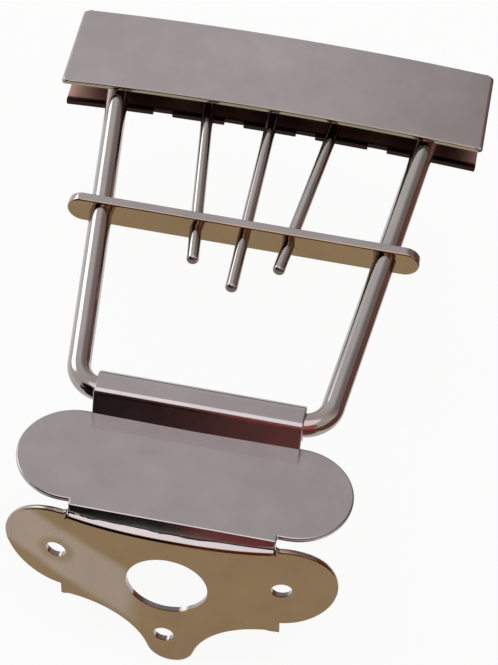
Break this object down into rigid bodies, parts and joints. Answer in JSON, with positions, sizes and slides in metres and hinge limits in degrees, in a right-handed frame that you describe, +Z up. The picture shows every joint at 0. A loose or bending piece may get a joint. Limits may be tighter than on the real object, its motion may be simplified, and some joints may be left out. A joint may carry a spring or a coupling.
{
  "type": "bass guitar trapeze tailpiece",
  "caption": "Trapeze tailpiece for a bass guitar: a hinged rod frame with an arched string channel, on a bent end plate with a strap-pin hole.",
  "frame": {"origin": "centre of the strap-pin hole, on the back face of the end flange", "axes": "+X to the right seen from the tail, +Y towards the bridge, +Z up out of the instrument's top"},
  "size_m": [0.09, 0.1241, 0.0576],
  "materials": {
    "plate_nickel": "polished nickel plate",
    "rod_nickel": "polished nickel plate",
    "brace_nickel": "polished nickel plate",
    "tine_nickel": "polished nickel plate",
    "rail_nickel": "polished nickel plate",
    "cover_nickel": "polished nickel plate"
  },
  "bodies": {
    "base": {"hinge_plate": "plate_nickel"},
    "trapeze": {"trapeze_rod": "rod_nickel", "cross_brace": "brace_nickel", "tine_left": "tine_nickel", "tine_middle": "tine_nickel", "tine_right": "tine_nickel", "string_rail": "rail_nickel", "cover_plate": "cover_nickel"}
  },
  "joints": [
    {"name": "trapeze_hinge", "type": "hinge", "parent": "base", "child": "trapeze", "pos_m": [0, 0.02743, 0.019], "axis": [1, 0, 0], "range_deg": [-100, 150]}
  ]
}
